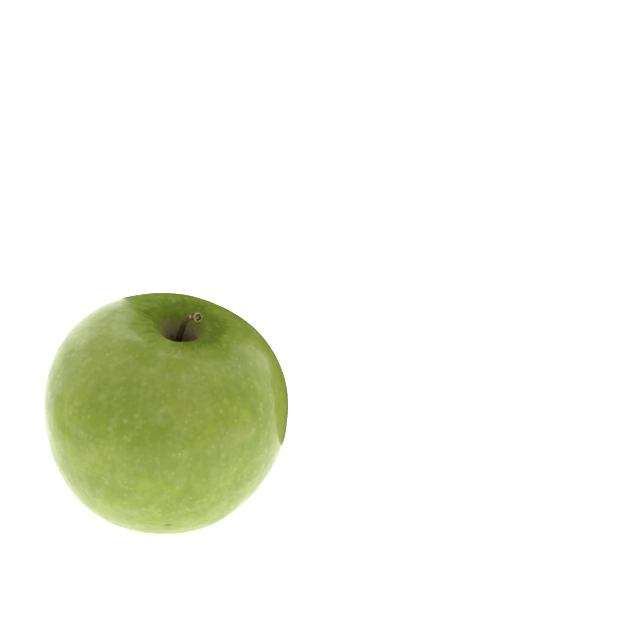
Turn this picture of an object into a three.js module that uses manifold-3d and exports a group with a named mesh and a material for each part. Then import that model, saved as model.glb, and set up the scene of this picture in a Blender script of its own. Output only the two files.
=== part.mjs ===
// A green apple standing on the five lobes of its base: the fruit, its woody stem, and what is left
// of the flower under it, five dried sepals and a tuft of stamens.
// Millimetres, +Z up. The origin lies on the surface that the apple stands on, under the middle of
// its outline, and -Y is the front, towards which the stem bends.

import * as THREE from "three";
import { mergeVertices } from "three/addons/utils/BufferGeometryUtils.js";
import Module from "manifold-3d";

// Driving dimensions of the fruit. Angles are turned about +Z from +X.
const CHEEK_R = 37.5; // at the widest, a little above mid-height
const BODY_HALF_H = 36.6; // half height of the round body, before the hollows sink into its ends
const TAPER = 0.076; // the shoulders are wider than the base by this share
const FULLNESS = 0.036; // how far both ends are flatter and fuller than a ball's
const DISH = { depth: 5, r: 15 }; // wide, shallow part of the stem cavity
const THROAT = { depth: 10, r: 5.2 }; // its steep middle, which holds the stem
const BASIN = { depth: 9, r: 10 }; // hollow under the fruit, around the calyx
const CALYX_PIT = { depth: 3.2, r: 6.5 }; // the middle of that hollow

// How it is uneven, as a grown thing is.
const CAVITY_SHIFT = { x: 7, y: 2.6, reach: 18 }; // the stem cavity opens to one side of the middle
const THROAT_SLANT = { x: -3, reach: 4 }; // and its throat slants back towards the core
const SHOULDER = { lift: 3.3, at: rad(167), reach: 1.2 }; // one is higher than the one across from it
const OVAL = { share: 0.009, at: rad(49) }; // seen from above, the cheeks aren't quite round
const THREE_SIDES = { share: 0.011, at: rad(-5) }; // and have three faint flat sides
const LOBES = { count: 5, at: rad(-72) }; // the five carpels show as lobes
const LOBE_CHEEK = { share: 0.007, up: -0.5, reach: 0.45 }; // of the radius, on the lower cheek
const LOBE_CROWN = { depth: 0.9, reach: 7 }; // feet below the valleys between them, at the base
const LOBE_TOP = { height: 0.22, reach: 11 }; // the same lobes round the shoulders
const PUCKER = { count: 10, depth: 0.28, r: 7, reach: 4 }; // fine folds, down into the basin
const CROWN_R = 14; // radius of the ring of feet
const SHOULDER_R = 18; // radius of the ring of shoulders
const FOOT_PRESS = 0.3; // how much of each foot is pressed flat by the weight

// Holes that the stem and the calyx stand in, with a clear gap around them.
const GAP = 0.3;
const STEM_FOOT_R = 1.25;
const STEM_SINK = 3.5; // how deep the stem stands in the fruit
const CALYX_R = 3.6; // radius of the ring that carries the sepals
const CALYX_SINK = 2.2;

// Mesh density.
const COLUMNS = 70;
const STEP_AXIS = 0.75; // ring spacing at the stem and the calyx
const STEP_CHEEK = 2.5; // ring spacing at the widest
const WALK_STEPS = 4000; // small steps that the spacing is measured in
const HALVINGS = 40; // rounds of narrowing down an angle

function rad(degrees) {
  return (degrees * Math.PI) / 180;
}

const bell = (x, width) => Math.exp(-((x / width) ** 2));
const smooth = (x) => THREE.MathUtils.smoothstep(x, 0, 1);
const hollow = ({ depth, r }, at) => depth * bell(at, r);
const funnel = ({ depth, r }, at) => depth * Math.exp(-((at / r) ** 3));

// Half width of the round body at the angle t from the stem's end of the axis.
const bodyWidth = (t) => Math.sin(t) * (1 + TAPER * Math.cos(t));
const WIDEST = Math.max(...Array.from({ length: 181 }, (_, i) => bodyWidth(rad(i))));
const meanRadius = (t) => (CHEEK_R * bodyWidth(t)) / WIDEST;

// Height of the body's mean outline at angle t, above its middle, with the hollows sunk in.
function meanHeight(t) {
  const r = meanRadius(t);
  const body = BODY_HALF_H * (Math.cos(t) - FULLNESS * Math.cos(3 * t));
  if (Math.cos(t) > 0) return body - hollow(DISH, r) - funnel(THROAT, r);
  return body + hollow(BASIN, r) + hollow(CALYX_PIT, r);
}

// A point of the skin at angle t and turn, about a straight core.
function grownPoint(t, turn) {
  const up = Math.cos(t);
  const mean = meanRadius(t);
  const lobe = Math.cos(LOBES.count * (turn - LOBES.at));
  const oval = OVAL.share * Math.cos(2 * (turn - OVAL.at));
  const sides = THREE_SIDES.share * Math.cos(3 * (turn - THREE_SIDES.at));
  const lobed = LOBE_CHEEK.share * lobe * bell(up - LOBE_CHEEK.up, LOBE_CHEEK.reach);
  const r = mean * (1 + (oval + sides) * Math.sin(t) ** 2 + lobed);
  let z = meanHeight(t);
  if (up > 0) {
    const lean = Math.cos(turn - SHOULDER.at) * smooth(mean / SHOULDER_R);
    z += LOBE_TOP.height * lobe * bell(mean - SHOULDER_R, LOBE_TOP.reach);
    z += SHOULDER.lift * lean * bell(t, SHOULDER.reach);
  } else {
    const fold = Math.cos(PUCKER.count * (turn - LOBES.at));
    z -= (LOBE_CROWN.depth / 2) * lobe * bell(mean - CROWN_R, LOBE_CROWN.reach);
    z += PUCKER.depth * fold * bell(mean - PUCKER.r, PUCKER.reach);
  }
  return new THREE.Vector3(r * Math.cos(turn), r * Math.sin(turn), z);
}

// Lowest point of the skin, at a foot's crest.
const LOWEST = Math.min(
  ...Array.from({ length: 90 }, (_, i) => grownPoint(rad(90 + i), LOBES.at).z),
);
const FLOOR = LOWEST + FOOT_PRESS;

// The skin where it really is: pressed flat where it stands, and with its cavity to one side.
function skinPoint(t, turn) {
  const p = grownPoint(t, turn);
  p.z = Math.max(p.z - FLOOR, 0);
  if (Math.cos(t) > 0) {
    const r = meanRadius(t);
    const shift = bell(r, CAVITY_SHIFT.reach);
    p.x += CAVITY_SHIFT.x * shift + THROAT_SLANT.x * bell(r, THROAT_SLANT.reach);
    p.y += CAVITY_SHIFT.y * shift;
  }
  return p;
}

// Angle t at which the mean outline is r from the axis, next to the stem or next to the calyx.
function angleAt(r, nearStem) {
  let low = 0;
  let high = Math.PI / 2;
  for (let i = 0; i < HALVINGS; i++) {
    const mid = (low + high) / 2;
    const t = nearStem ? mid : Math.PI - mid;
    if (meanRadius(t) < r) low = mid;
    else high = mid;
  }
  return nearStem ? low : Math.PI - low;
}

// The rings' angles, further apart where the fruit is wide.
function ringAngles(from, to) {
  const angles = [from];
  let walked = 0;
  let last = null;
  for (let i = 0; i <= WALK_STEPS; i++) {
    const t = from + ((to - from) * i) / WALK_STEPS;
    const r = meanRadius(t);
    const here = new THREE.Vector2(r, meanHeight(t));
    if (last) walked += here.distanceTo(last);
    last = here;
    if (walked >= STEP_AXIS + (STEP_CHEEK - STEP_AXIS) * (r / CHEEK_R)) {
      angles.push(t);
      walked = 0;
    }
  }
  angles[angles.length - 1] = to;
  return angles;
}

// A closed surface through rings of equal length that turn anticlockwise about the direction from
// the last ring to the first, closed by a point at each end.
function skinOver(first, rings, last) {
  const sides = rings[0].length;
  const points = [first, ...rings.flat(), last];
  const at = (ring, side) => 1 + ring * sides + (side % sides);
  const faces = [];
  for (let j = 0; j < sides; j++) {
    faces.push(0, at(0, j), at(0, j + 1));
    for (let i = 0; i + 1 < rings.length; i++) {
      faces.push(at(i, j), at(i + 1, j), at(i + 1, j + 1));
      faces.push(at(i, j), at(i + 1, j + 1), at(i, j + 1));
    }
    faces.push(points.length - 1, at(rings.length - 1, j + 1), at(rings.length - 1, j));
  }
  const geometry = new THREE.BufferGeometry().setFromPoints(points).setIndex(faces);
  geometry.computeVertexNormals();
  return geometry;
}

const circle = (sides, place) =>
  Array.from({ length: sides }, (_, j) => place((2 * Math.PI * j) / sides));
const middleOf = (ring) =>
  ring.reduce((sum, p) => sum.add(p), new THREE.Vector3()).divideScalar(ring.length);
const levelled = (ring, z) => ring.map((p) => p.clone().setZ(z));

function fruitGeometry() {
  const angles = ringAngles(angleAt(STEM_FOOT_R + GAP, true), angleAt(CALYX_R + GAP, false));
  const rings = angles.map((t) => circle(COLUMNS, (turn) => skinPoint(t, turn)));
  const mouth = rings[0];
  const under = rings[rings.length - 1];
  const stemHole = levelled(mouth, middleOf(mouth).z - STEM_SINK - GAP);
  const calyxHole = levelled(under, middleOf(under).z + CALYX_SINK + GAP);
  return skinOver(middleOf(stemHole), [stemHole, ...rings, calyxHole], middleOf(calyxHole));
}

// A solid along a curve. Each station has its place u along the curve, its half width and half
// thickness, and how far it is moved on along the curve's direction there.
function sweep(curve, stations, sides, widthAxis) {
  const rings = stations.map(({ u, wide, thick = wide, on = 0 }) => {
    const tangent = curve.getTangentAt(u);
    const across = widthAxis.clone().addScaledVector(tangent, -widthAxis.dot(tangent)).normalize();
    const out = tangent.clone().cross(across);
    const centre = curve.getPointAt(u).addScaledVector(tangent, on);
    return circle(sides, (a) =>
      centre
        .clone()
        .addScaledVector(across, wide * Math.cos(a))
        .addScaledVector(out, thick * Math.sin(a)),
    );
  });
  rings.reverse();
  return skinOver(middleOf(rings[0]), rings, middleOf(rings[rings.length - 1]));
}

// Where the stem leaves the fruit, and where the calyx hangs from it.
const mouthAt = (angle) => middleOf(circle(COLUMNS, (turn) => skinPoint(angle, turn)));
const STEM_FOOT = mouthAt(angleAt(STEM_FOOT_R + GAP, true));
const CALYX_SEAT = mouthAt(angleAt(CALYX_R + GAP, false));

// The stem: a foot that widens into the fruit, a slim shaft that leans to +X and bends over to the
// front, and a knob with a ring scar and a pith button, where it came away from the twig.
const STEM_SHAFT_R = 0.92;
const KNOB_R = 1.45;
// Along the stem, u goes from 0 at its foot to 1 at its end.
const FOOT_ENDS = 0.3; // the foot narrows up to this u
const KNOB_SWELLS = 0.78; // and the knob widens from this u
const SHAFT_ENDS = 0.93;
const SHAFT_STEPS = 26;
const RIPPLE = { height: 0.06, turns: 21 }; // the shaft isn't quite even
const BUD_SCAR = { u: 0.9, r: 0.62, out: 0.8, turn: rad(200) }; // a bump on the side of the knob
const STEM_BENDS = [
  [0, 0, -STEM_SINK],
  [0.05, 0, 0],
  [0.9, -0.6, 5.8],
  [2.1, -1.6, 9.8],
  [2.9, -3.0, 13.1],
  [4.1, -4.8, 15.7],
  [5.3, -6.8, 17.4],
  [7.0, -9.3, 18.6],
];
const STEM_ACROSS = new THREE.Vector3(1, 0.25, 0);

function stemCurve() {
  const bends = STEM_BENDS.map(([x, y, z]) => new THREE.Vector3(x, y, z).add(STEM_FOOT));
  return new THREE.CatmullRomCurve3(bends, false, "centripetal");
}

function shaftGeometry(curve) {
  const shaft = [];
  for (let i = 0; i <= SHAFT_STEPS; i++) {
    const u = SHAFT_ENDS * (i / SHAFT_STEPS);
    const foot = (STEM_FOOT_R - STEM_SHAFT_R) * (1 - smooth(u / FOOT_ENDS));
    const ripple = RIPPLE.height * Math.sin(u * RIPPLE.turns) * smooth(u / FOOT_ENDS);
    const widening = smooth((u - KNOB_SWELLS) / (SHAFT_ENDS - KNOB_SWELLS));
    const knob = (KNOB_R - STEM_SHAFT_R) * 0.55 * widening;
    shaft.push({ u, wide: STEM_SHAFT_R + foot + ripple + knob });
  }
  const knob = [
    { u: 0.965, wide: KNOB_R * 0.97 },
    { u: 1, wide: KNOB_R },
    { u: 1, wide: KNOB_R * 0.92, on: 0.32 },
    { u: 1, wide: KNOB_R * 0.76, on: 0.4 },
    { u: 1, wide: KNOB_R * 0.62, on: 0.26 },
    { u: 1, wide: KNOB_R * 0.52, on: -0.1 },
    { u: 1, wide: KNOB_R * 0.4, on: -0.1 },
    { u: 1, wide: KNOB_R * 0.3, on: 0.16 },
    { u: 1, wide: KNOB_R * 0.12, on: 0.24 },
  ];
  return sweep(curve, [...shaft, ...knob], 16, STEM_ACROSS);
}

// Joining closed meshes into one.
const wasm = await Module();
wasm.setup();

function solidOf(geometry) {
  return new wasm.Manifold(
    new wasm.Mesh({
      numProp: 3,
      vertProperties: new Float32Array(geometry.attributes.position.array),
      triVerts: new Uint32Array(geometry.index.array),
    }),
  );
}

function joined(geometries) {
  const mesh = geometries.map(solidOf).reduce((sum, next) => sum.add(next)).getMesh();
  const geometry = new THREE.BufferGeometry();
  geometry.setAttribute("position", new THREE.BufferAttribute(mesh.vertProperties, 3));
  geometry.setIndex(new THREE.BufferAttribute(mesh.triVerts, 1));
  geometry.computeVertexNormals();
  return geometry;
}

// A round bump, closed, with its shared corners merged.
function bumpGeometry(r, centre) {
  const ball = new THREE.IcosahedronGeometry(r, 2);
  ball.deleteAttribute("normal");
  ball.deleteAttribute("uv");
  return mergeVertices(ball.translate(centre.x, centre.y, centre.z));
}

function stemGeometry() {
  const curve = stemCurve();
  const { u, r, out, turn } = BUD_SCAR;
  const tangent = curve.getTangentAt(u);
  const side = STEM_ACROSS.clone().addScaledVector(tangent, -STEM_ACROSS.dot(tangent)).normalize();
  side.applyAxisAngle(tangent, turn).multiplyScalar(KNOB_R * out);
  return joined([shaftGeometry(curve), bumpGeometry(r, curve.getPointAt(u).add(side))]);
}

// The calyx, drawn as it hangs: down is the depth below its seat, towards the basin's mouth.
const SEPALS = 5;
// Half width at its widest, half thickness, and what is left of the width at the root and the tip.
const SEPAL = { wide: 2.15, thick: 0.34, root: 0.8, tip: 0.16 };
const SEPAL_OPEN = [0.1, 0.5, -0.1, 0.3, 0]; // how far each one is bent out
const SEPAL_BENDS = [
  // distance from the axis, and depth below the seat
  [2.9, -1.0],
  [3.0, 0.4],
  [2.85, 1.6],
  [2.8, 2.8],
  [3.4, 3.9],
  [4.9, 4.6],
];
const TUBE_R = 2.3; // inside of the ring that carries the sepals

// Points about the calyx's axis.
const outward = (turn) => new THREE.Vector3(Math.cos(turn), Math.sin(turn), 0);
const sideways = (turn) => new THREE.Vector3(-Math.sin(turn), Math.cos(turn), 0);
const hung = (turn, r, down) => outward(turn).multiplyScalar(r).setZ(-down).add(CALYX_SEAT);

const narrowed = (from, to, share) => from + (to - from) * share;

function sepalGeometry(turn, open) {
  const bends = SEPAL_BENDS.map(([r, down]) => hung(turn, r + open * smooth(down / 4), down));
  const curve = new THREE.CatmullRomCurve3(bends, false, "centripetal");
  const stations = [0, 0.1, 0.2, 0.3, 0.4, 0.5, 0.6, 0.7, 0.8, 0.9, 1].map((u) => ({
    u,
    wide: SEPAL.wide * narrowed(1, SEPAL.tip, u ** 1.5) * narrowed(SEPAL.root, 1, smooth(u / 0.3)),
    thick: SEPAL.thick * (1 - 0.1 * u),
  }));
  return sweep(curve, stations, 8, sideways(turn));
}

// The ring that the sepals grow from: a short tube with a rounded lip.
function ringGeometry() {
  const outline = [
    [TUBE_R, 0.3],
    [TUBE_R + 0.4, 0.6],
    [CALYX_R * 0.9, 0.5],
    [CALYX_R, 0.1],
    [CALYX_R, -CALYX_SINK * 0.5],
    [CALYX_R * 0.88, -CALYX_SINK],
    [TUBE_R, -CALYX_SINK],
  ].map(([r, down]) => new THREE.Vector2(r, -down));
  outline.push(outline[0].clone());
  const ring = new THREE.LatheGeometry(outline, 24).rotateX(Math.PI / 2);
  ring.deleteAttribute("normal");
  ring.deleteAttribute("uv");
  return mergeVertices(ring.translate(CALYX_SEAT.x, CALYX_SEAT.y, CALYX_SEAT.z));
}

function calyxGeometry() {
  const sepals = SEPAL_OPEN.map((open, i) =>
    sepalGeometry(LOBES.at + rad(36) + (2 * Math.PI * i) / SEPALS, open),
  );
  return joined([ringGeometry(), ...sepals]);
}

// The dried stamens and styles: a tuft on a root that fills the calyx's tube.
const FILAMENTS = 11;
const FILAMENT = { radius: 0.3, from: 1.35, length: 2.8, uneven: 0.7 };
const STYLE = { radius: 0.45, from: 0.15, length: 4, turn: 0.4 };
const TUFT_ROOT_R = TUBE_R - GAP;

// A thread that stands r from the calyx's axis, and ends in a thicker tip.
function filamentGeometry(turn, r, length, radius) {
  const points = [
    hung(turn, r, -CALYX_SINK + 0.5),
    hung(turn, r, 0.4),
    hung(turn + 0.2, r * 0.9, length * 0.6),
    hung(turn + 0.5, r * 1.15, length),
  ];
  const curve = new THREE.CatmullRomCurve3(points, false, "centripetal");
  const stations = [0, 0.25, 0.5, 0.72, 0.88, 0.96, 1].map((u) => ({
    u,
    wide: radius * (u > 0.9 ? 1.35 : 1) * (u === 1 ? 0.6 : 1),
  }));
  return sweep(curve, stations, 6, outward(turn));
}

function stamensGeometry() {
  const axis = new THREE.LineCurve3(hung(0, 0, -CALYX_SINK), hung(0, 0, 0.2));
  const root = sweep(
    axis,
    [
      { u: 0, wide: TUFT_ROOT_R * 0.9 },
      { u: 0.3, wide: TUFT_ROOT_R },
      { u: 0.85, wide: TUFT_ROOT_R },
      { u: 1, wide: TUFT_ROOT_R * 0.8 },
    ],
    16,
    outward(0),
  );
  const filaments = Array.from({ length: FILAMENTS }, (_, i) => {
    const length = FILAMENT.length + FILAMENT.uneven * Math.sin(i * 2.4);
    const turn = (2 * Math.PI * i) / FILAMENTS;
    return filamentGeometry(turn, FILAMENT.from, length, FILAMENT.radius);
  });
  const style = filamentGeometry(STYLE.turn, STYLE.from, STYLE.length, STYLE.radius);
  return joined([root, style, ...filaments]);
}

const materials = {
  skin: new THREE.MeshStandardMaterial({ color: 0x8fa148, roughness: 0.38, metalness: 0 }),
  bark: new THREE.MeshStandardMaterial({ color: 0x5b4527, roughness: 0.75, metalness: 0 }),
  husk: new THREE.MeshStandardMaterial({ color: 0x7a7350, roughness: 0.85, metalness: 0 }),
  filament: new THREE.MeshStandardMaterial({ color: 0x4a3420, roughness: 0.9, metalness: 0 }),
};

function piece(name, geometry, material) {
  const mesh = new THREE.Mesh(geometry, material);
  mesh.name = name;
  return mesh;
}

const apple = new THREE.Group();
const grown = new THREE.Group();
grown.add(piece("fruit", fruitGeometry(), materials.skin));
grown.add(piece("stem", stemGeometry(), materials.bark));
grown.add(piece("calyx_sepals", calyxGeometry(), materials.husk));
grown.add(piece("stamens", stamensGeometry(), materials.filament));
const middle = new THREE.Box3().setFromObject(grown).getCenter(new THREE.Vector3());
grown.position.set(-middle.x, -middle.y, 0);
apple.add(grown);

export default apple;
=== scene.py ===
# %% [markdown]
# # One green apple
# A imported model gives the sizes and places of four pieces: the fruit, its stem, the five dried
# sepals under it, and the tuft of stamens between them. Here each piece gets its finished surface.
# Blender works in metres, and MM turns a size that was measured in millimetres.

# %% The frame
import math
import random

import bpy
import numpy as np
from mathutils import Matrix, Vector


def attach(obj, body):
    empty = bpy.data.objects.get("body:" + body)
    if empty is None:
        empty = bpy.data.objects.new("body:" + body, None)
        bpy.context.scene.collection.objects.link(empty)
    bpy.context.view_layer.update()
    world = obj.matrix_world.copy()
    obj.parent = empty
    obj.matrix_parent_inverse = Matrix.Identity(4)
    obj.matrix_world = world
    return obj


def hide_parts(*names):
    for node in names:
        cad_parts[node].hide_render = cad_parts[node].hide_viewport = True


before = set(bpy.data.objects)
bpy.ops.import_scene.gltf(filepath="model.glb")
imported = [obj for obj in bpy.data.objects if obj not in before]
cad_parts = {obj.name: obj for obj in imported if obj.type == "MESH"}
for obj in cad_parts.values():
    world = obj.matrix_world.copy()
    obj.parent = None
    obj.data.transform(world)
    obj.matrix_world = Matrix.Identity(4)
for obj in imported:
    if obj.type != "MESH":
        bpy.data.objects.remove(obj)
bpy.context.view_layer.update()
MM = 0.001
print("nodes:", sorted(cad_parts))


# %% [markdown]
# ## Small helpers
# Colours are written as the hex values that a colour picker shows, and the shader sockets want
# them linear, so one function turns them. Another adds a shader node with its settings and links.
# A value that is itself a node is linked from the first of that node's outputs that is in use.
# A third starts a material, and the rest select, measure and bend meshes.

# %% Helpers
def linear(hex_colour):
    shares = [int(hex_colour[i : i + 2], 16) / 255 for i in (1, 3, 5)]
    return (*[c / 12.92 if c <= 0.04045 else ((c + 0.055) / 1.055) ** 2.4 for c in shares], 1.0)


def add(tree, kind, inputs=None, stops=None, **settings):
    node = tree.nodes.new(kind)
    for name, value in settings.items():
        setattr(node, name, value)
    for key, value in (inputs or {}).items():
        if isinstance(key, int):
            socket = node.inputs[key]
        else:
            socket = next(s for s in node.inputs if s.enabled and s.name == key)
        if isinstance(value, bpy.types.Node):
            value = next(s for s in value.outputs if s.enabled)
        if isinstance(value, bpy.types.NodeSocket):
            tree.links.new(value, socket)
        else:
            socket.default_value = linear(value) if isinstance(value, str) else value
    if stops:
        elements = node.color_ramp.elements
        while len(elements) < len(stops):
            elements.new(1.0)
        for element, (place, colour) in zip(elements, stops):
            element.position = place
            element.color = linear(colour)
    return node


def new_material(name):
    """A material with its node tree and the shader that it starts with."""
    material = bpy.data.materials.new(name)
    material.use_nodes = True
    return material, material.node_tree, material.node_tree.nodes["Principled BSDF"]


def select_only(piece):
    bpy.ops.object.select_all(action="DESELECT")
    piece.select_set(True)
    bpy.context.view_layer.objects.active = piece


def apply_modifier(piece, kind, **settings):
    select_only(piece)
    modifier = piece.modifiers.new(kind.title(), kind)
    for name, value in settings.items():
        setattr(modifier, name, value)
    bpy.ops.object.modifier_apply(modifier=modifier.name)


def corners(piece):
    places = np.empty(len(piece.data.vertices) * 3)
    piece.data.vertices.foreach_get("co", places)
    return places.reshape(-1, 3)


def print_box(piece):
    low, high = corners(piece).min(axis=0), corners(piece).max(axis=0)
    print(piece.name, "spans", (low / MM).round(2), "to", (high / MM).round(2), "mm")


def store(piece, name, values):
    """Keep a number, or a vector, at each corner, for the material to read."""
    kind, field = ("FLOAT", "value") if values.ndim == 1 else ("FLOAT_VECTOR", "vector")
    layer = piece.data.attributes.new(name, kind, "POINT")
    layer.data.foreach_set(field, values.astype(np.float32).ravel())


def select_corners(piece, chosen):
    """Go to edit mode with only these corners selected."""
    select_only(piece)
    bpy.ops.object.mode_set(mode="EDIT")
    bpy.ops.mesh.select_mode(type="VERT")
    bpy.ops.mesh.select_all(action="DESELECT")
    bpy.ops.object.mode_set(mode="OBJECT")
    piece.data.vertices.foreach_set("select", chosen)
    bpy.ops.object.mode_set(mode="EDIT")


def bend_along(piece, points, axis, **line_settings):
    """Bend a straight piece along a smooth line through these points."""
    line = bpy.data.curves.new("bending_line", "CURVE")
    for name, value in line_settings.items():
        setattr(line, name, value)
    spline = line.splines.new("BEZIER")
    spline.bezier_points.add(len(points) - 1)
    for knot, point in zip(spline.bezier_points, points):
        knot.co = point
        knot.handle_left_type = knot.handle_right_type = "AUTO"
    guide = bpy.data.objects.new("bending_line", line)
    bpy.context.collection.objects.link(guide)
    apply_modifier(piece, "CURVE", object=guide, deform_axis=axis)
    bpy.data.objects.remove(guide)


# %% [markdown]
# ## The camera
# It looks at the apple from the front and from above, as someone at a table would. It is aimed to
# the right of the apple and above it, so the apple stands low and left in the picture.

# %% Camera
CAMERA_HEIGHT = math.radians(36)  # angle above the table
CAMERA_DISTANCE = 0.42
AIM_RIGHT = math.radians(7.966)
AIM_DOWN = math.radians(32.461)
LENS = 75.56  # mm, on a sensor 36 mm wide
APPLE_MIDDLE = Vector((0, 0, 0.034))

away = Vector((0, -math.cos(CAMERA_HEIGHT), math.sin(CAMERA_HEIGHT)))
bpy.ops.object.camera_add(
    location=APPLE_MIDDLE + CAMERA_DISTANCE * away,
    rotation=(math.pi / 2 - AIM_DOWN, 0, -AIM_RIGHT),
)
camera = bpy.context.active_object
camera.data.sensor_width = 36
camera.data.lens = LENS
scene = bpy.context.scene
scene.camera = camera
print("camera at", [round(x, 3) for x in camera.location])


# %% [markdown]
# ## The light table
# Fruit for a catalogue is put on a light table, a white sheet of acrylic that glows from below.
# It lights the apple from under it and swallows the shadow. A plane with a glowing material does
# the same here.

# %% Light table
TABLE_WIDTH = 4  # m, so that its edges stay out of sight

scene.view_settings.view_transform = "Standard"
bpy.ops.mesh.primitive_plane_add(size=TABLE_WIDTH, location=(0, 0, 0))
table = bpy.context.active_object
table.name = "light_table"
acrylic, tree, shader = new_material("opal_acrylic")
shader.inputs["Base Color"].default_value = linear("#f4f4f2")
shader.inputs["Roughness"].default_value = 0.6
shader.inputs["Emission Color"].default_value = linear("#ffffff")
shader.inputs["Emission Strength"].default_value = 0.8
table.data.materials.append(acrylic)
print("light table", table.dimensions.x, "m across")


# %% [markdown]
# ## The room and its softboxes
# A white room gives soft light from everywhere, a little dimmer on the side where the viewer
# stands. Four softboxes, one at each side and two behind, give the broad pale bands in the gloss.

# %% Room and softboxes
world = bpy.data.worlds.new("white_room")
scene.world = world
world.use_nodes = True
room = world.node_tree
direction = add(room, "ShaderNodeSeparateXYZ", {0: add(room, "ShaderNodeTexCoord")})
brightness = add(
    room,
    "ShaderNodeMapRange",
    {
        "Value": direction.outputs["Y"],
        "From Min": -0.2,
        "From Max": 0.45,
        "To Min": 0.58,
        "To Max": 1.05,
    },
    interpolation_type="SMOOTHSTEP",
)
# Seen directly, the room is plain white.
seen = add(room, "ShaderNodeLightPath").outputs["Is Camera Ray"]
brightness = add(room, "ShaderNodeMix", {"Factor": seen, "A": brightness, "B": 1.0})
room.links.new(brightness.outputs[0], room.nodes["Background"].inputs["Strength"])
room.nodes["Background"].inputs["Color"].default_value = (1, 1, 1, 1)


def softbox(name, place, width, height, glow):
    """A lamp as large as this, in metres, that glows evenly and faces the apple."""
    facing = (APPLE_MIDDLE - Vector(place)).to_track_quat("-Z", "Y").to_euler()
    bpy.ops.object.light_add(type="AREA", location=place, rotation=facing)
    lamp = bpy.context.active_object
    lamp.name = name
    lamp.data.shape = "RECTANGLE"
    lamp.data.size = width
    lamp.data.size_y = height
    lamp.data.energy = glow * math.pi * width * height


softbox("softbox_left", (-0.65, 0.3, 0.3), 0.4, 0.5, 0.4)
softbox("softbox_right", (0.6, 0.4, 0.3), 0.4, 0.5, 0.6)
softbox("softbox_back", (-0.35, 0.85, 0.27), 0.6, 0.45, 1.2)
softbox("softbox_high", (0.02, 0.77, 0.66), 0.34, 0.2, 1.3)


# %% [markdown]
# ## Flags and a card
# On white, a pale glossy fruit loses its rim. Two dark flags stand close to it, just where the
# rim mirrors the table, and the rim comes back. A third hangs over the cavity, so that its deep
# green isn't veiled by the ceiling, and a light card on the left takes the edge off the white
# there. All four are round, because a straight edge would show in the gloss as one. They only
# mirror: they cast no shadow, they don't tint the light, and no camera sees them.

# %% Flags and card
felt, tree, shader = new_material("green_felt")
shader.inputs["Base Color"].default_value = linear("#1d2a06")
shader.inputs["Roughness"].default_value = 1.0
card, tree, shader = new_material("light_card")
shader.inputs["Base Color"].default_value = linear("#c8cdb8")
shader.inputs["Roughness"].default_value = 1.0


def flag_of(cloth, name, place, width, height, tilt, turn):
    """A round flag: its middle and size in metres, and its angles in degrees."""
    turned = (math.radians(tilt), 0, math.radians(turn))
    bpy.ops.mesh.primitive_circle_add(
        vertices=64, radius=0.5, fill_type="NGON", location=place, rotation=turned
    )
    flag = bpy.context.active_object
    flag.name = name
    flag.scale = (width, height, 1)
    flag.data.materials.append(cloth)
    flag.visible_camera = False
    flag.visible_diffuse = False
    flag.visible_shadow = False
    flag.visible_transmission = False


flag_of(felt, "flag_behind", (0.0345, 0.05, 0.048), 0.096, 0.149, 90, 0)
flag_of(felt, "flag_right", (0.038, 0.0225, 0.027), 0.07, 0.054, 90, -55)
flag_of(felt, "flag_above", (0.0275, 0.085, 0.2), 0.085, 0.1, 0, 0)
flag_of(card, "card_left", (-0.1, 0.003, 0.037), 0.062, 0.052, 90, 90)
print("three flags and a card")


# %% [markdown]
# ## The fruit's form
# An apple's skin is one sheet. It dips into the stem's cavity at the top and into the calyx basin
# underneath, and in each it closes round what grows there. It could be a sphere pushed into shape.
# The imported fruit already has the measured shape, so the skin starts as a copy of it, and its
# two sockets, which hold the stem and the sepals as loose parts, are healed to closed skin.

# %% Copy of the fruit
node_corners = {name: corners(node) for name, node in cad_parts.items()}


def level_ring(node, highest):
    """The middle of a node's highest or lowest ring of corners."""
    places = node_corners[node]
    level = places[:, 2].max() if highest else places[:, 2].min()
    ring = places[abs(places[:, 2] - level) < 0.2 * MM]
    return (ring.min(axis=0) + ring.max(axis=0)) / 2


stem_foot = level_ring("stem", highest=False)
core = level_ring("stamens", highest=True)

skin = bpy.data.objects.new("apple_skin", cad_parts["fruit"].data.copy())
bpy.context.collection.objects.link(skin)
skin.data.materials.clear()
select_only(skin)
bpy.ops.mesh.customdata_custom_splitnormals_clear()
bpy.ops.object.mode_set(mode="EDIT")
bpy.ops.mesh.select_all(action="SELECT")
bpy.ops.mesh.remove_doubles(threshold=0.002 * MM)
bpy.ops.mesh.tris_convert_to_quads(
    face_threshold=math.radians(40), shape_threshold=math.radians(60)
)
bpy.ops.object.mode_set(mode="OBJECT")
print("skin starts with", len(skin.data.polygons), "faces; stem foot", stem_foot, "core", core)


# %% Close the two sockets
STEM_SOCKET = 1.8 * MM  # a little more than its radius
STEM_FLOOR = 48.7 * MM  # the height of its floor
STEM_RINGS = ((-0.2, 0.78), (-0.4, 0.55))  # how far up each new ring goes in mm, and its scale
CALYX_SOCKET = 4.2 * MM
CALYX_FLOOR = 9.26 * MM
CALYX_RINGS = ((0.1, 0.82), (0.5, 0.8), (0.9, 0.88), (0.8, 0.85))


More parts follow.
